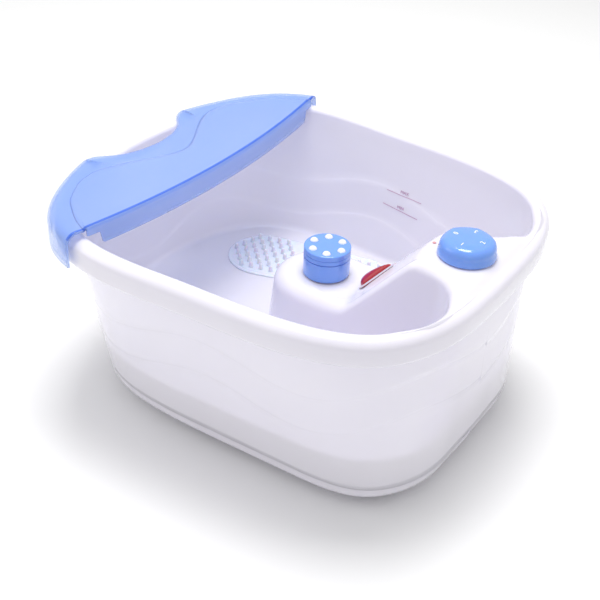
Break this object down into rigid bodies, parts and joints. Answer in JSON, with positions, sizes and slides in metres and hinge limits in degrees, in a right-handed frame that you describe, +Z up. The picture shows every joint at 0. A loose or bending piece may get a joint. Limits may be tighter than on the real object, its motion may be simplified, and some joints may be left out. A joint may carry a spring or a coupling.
{
  "type": "foot spa basin",
  "caption": "Deep oval-cornered foot bath tub with rolled rim, nubbed foot wells, rolling massage drum, mode dial, red lamp lens and a clear lift-off splash guard.",
  "frame": {"origin": "on the floor under the middle of the object's overall box", "axes": "+X towards the dial end along the tub's length, +Y towards the side with the cord gland, +Z up"},
  "size_m": [0.4001, 0.3622, 0.2108],
  "materials": {
    "tub_plastic": "glossy milky white, slightly translucent",
    "nub_plastic": "glossy milky white",
    "foot_rubber": "matt black",
    "screw_steel": "zinc plated",
    "lens_red": "clear deep red",
    "gasket_clear": "pale silicone",
    "lamp_glass": "red tinted glass",
    "holder_plastic": "black moulding",
    "guard_clear_blue": "clear light blue",
    "knob_blue": "glossy mid blue",
    "drum_blue": "glossy mid blue",
    "shaft_plastic": "natural nylon",
    "nut_metal": "nickel plated brass",
    "post_plastic": "glossy milky white",
    "ball_white": "polished white",
    "heater_metal": "rolled",
    "motor_metal": "zinc plated",
    "thermostat_body": "brown phenolic",
    "lead_insulation": "PVC insulation"
  },
  "bodies": {
    "basin": {"tub": "tub_plastic", "base_tray": "tub_plastic", "foot_near_right": "foot_rubber", "foot_far_right": "foot_rubber", "foot_near_left": "foot_rubber", "foot_far_left": "foot_rubber", "base_screws": "screw_steel", "far_footbed": "nub_plastic", "near_footbed": "nub_plastic", "infrared_lens": "lens_red", "lens_gasket": "gasket_clear", "infrared_lamp": "lamp_glass", "lamp_holder": "holder_plastic", "rotary_switch": "holder_plastic", "switch_nut": "nut_metal", "roller_post": "post_plastic", "heating_plate": "heater_metal", "thermostat": "thermostat_body", "motor_can": "motor_metal", "motor_clamp": "motor_metal", "motor_screws": "screw_steel", "terminal_block": "holder_plastic", "cord_gland": "foot_rubber", "gland_nut": "holder_plastic", "switch_lead": "lead_insulation", "heater_lead": "lead_insulation", "motor_lead": "lead_insulation"},
    "guard": {"splash_guard": "guard_clear_blue"},
    "dial": {"dial_knob": "knob_blue", "switch_shaft": "shaft_plastic"},
    "massage_hub": {"roller_hub": "drum_blue", "hub_clip": "screw_steel"},
    "massage_drum": {"drum_cup": "drum_blue", "drum_cap": "drum_blue", "ball_retainer": "drum_blue"},
    "motor_rotor": {"motor_shaft": "screw_steel", "eccentric_weight": "motor_metal"},
    "ball_1": {"massage_ball_1": "ball_white"},
    "ball_2": {"massage_ball_2": "ball_white"},
    "ball_3": {"massage_ball_3": "ball_white"},
    "ball_4": {"massage_ball_4": "ball_white"},
    "ball_5": {"massage_ball_5": "ball_white"},
    "ball_6": {"massage_ball_6": "ball_white"}
  },
  "joints": [
    {"name": "guard_lift", "type": "slide", "parent": "basin", "child": "guard", "axis": [0, 0, 1], "range_m": [0, 0.06]},
    {"name": "dial_turn", "type": "hinge", "parent": "basin", "child": "dial", "pos_m": [0.159, 0, 0.19], "axis": [0, 0, 1], "range_deg": [-270, 0]},
    {"name": "head_lift", "type": "slide", "parent": "basin", "child": "massage_hub", "axis": [0, 0, 1], "range_m": [0, 0.03]},
    {"name": "drum_spin", "type": "hinge", "parent": "massage_hub", "child": "massage_drum", "pos_m": [0.028, 0, 0.135], "axis": [0, 0, 1], "continuous": true},
    {"name": "motor_spin", "type": "hinge", "parent": "basin", "child": "motor_rotor", "pos_m": [0, 0, 0.0296], "axis": [1, 0, 0], "continuous": true},
    {"name": "ball_1_roll", "type": "hinge", "parent": "massage_drum", "child": "ball_1", "pos_m": [0.0425, -0.00025, 0.1519], "axis": [0.0175, 0.9998, 0], "continuous": true},
    {"name": "ball_2_roll", "type": "hinge", "parent": "massage_drum", "child": "ball_2", "pos_m": [0.03547, 0.01243, 0.1519], "axis": [-0.8572, 0.515, 0], "continuous": true},
    {"name": "ball_3_roll", "type": "hinge", "parent": "massage_drum", "child": "ball_3", "pos_m": [0.02097, 0.01268, 0.1519], "axis": [-0.8746, -0.4848, 0], "continuous": true},
    {"name": "ball_4_roll", "type": "hinge", "parent": "massage_drum", "child": "ball_4", "pos_m": [0.0135, 0.00025, 0.1519], "axis": [-0.0175, -0.9998, 0], "continuous": true},
    {"name": "ball_5_roll", "type": "hinge", "parent": "massage_drum", "child": "ball_5", "pos_m": [0.02053, -0.01243, 0.1519], "axis": [0.8572, -0.515, 0], "continuous": true},
    {"name": "ball_6_roll", "type": "hinge", "parent": "massage_drum", "child": "ball_6", "pos_m": [0.03503, -0.01268, 0.1519], "axis": [0.8746, 0.4848, 0], "continuous": true}
  ]
}
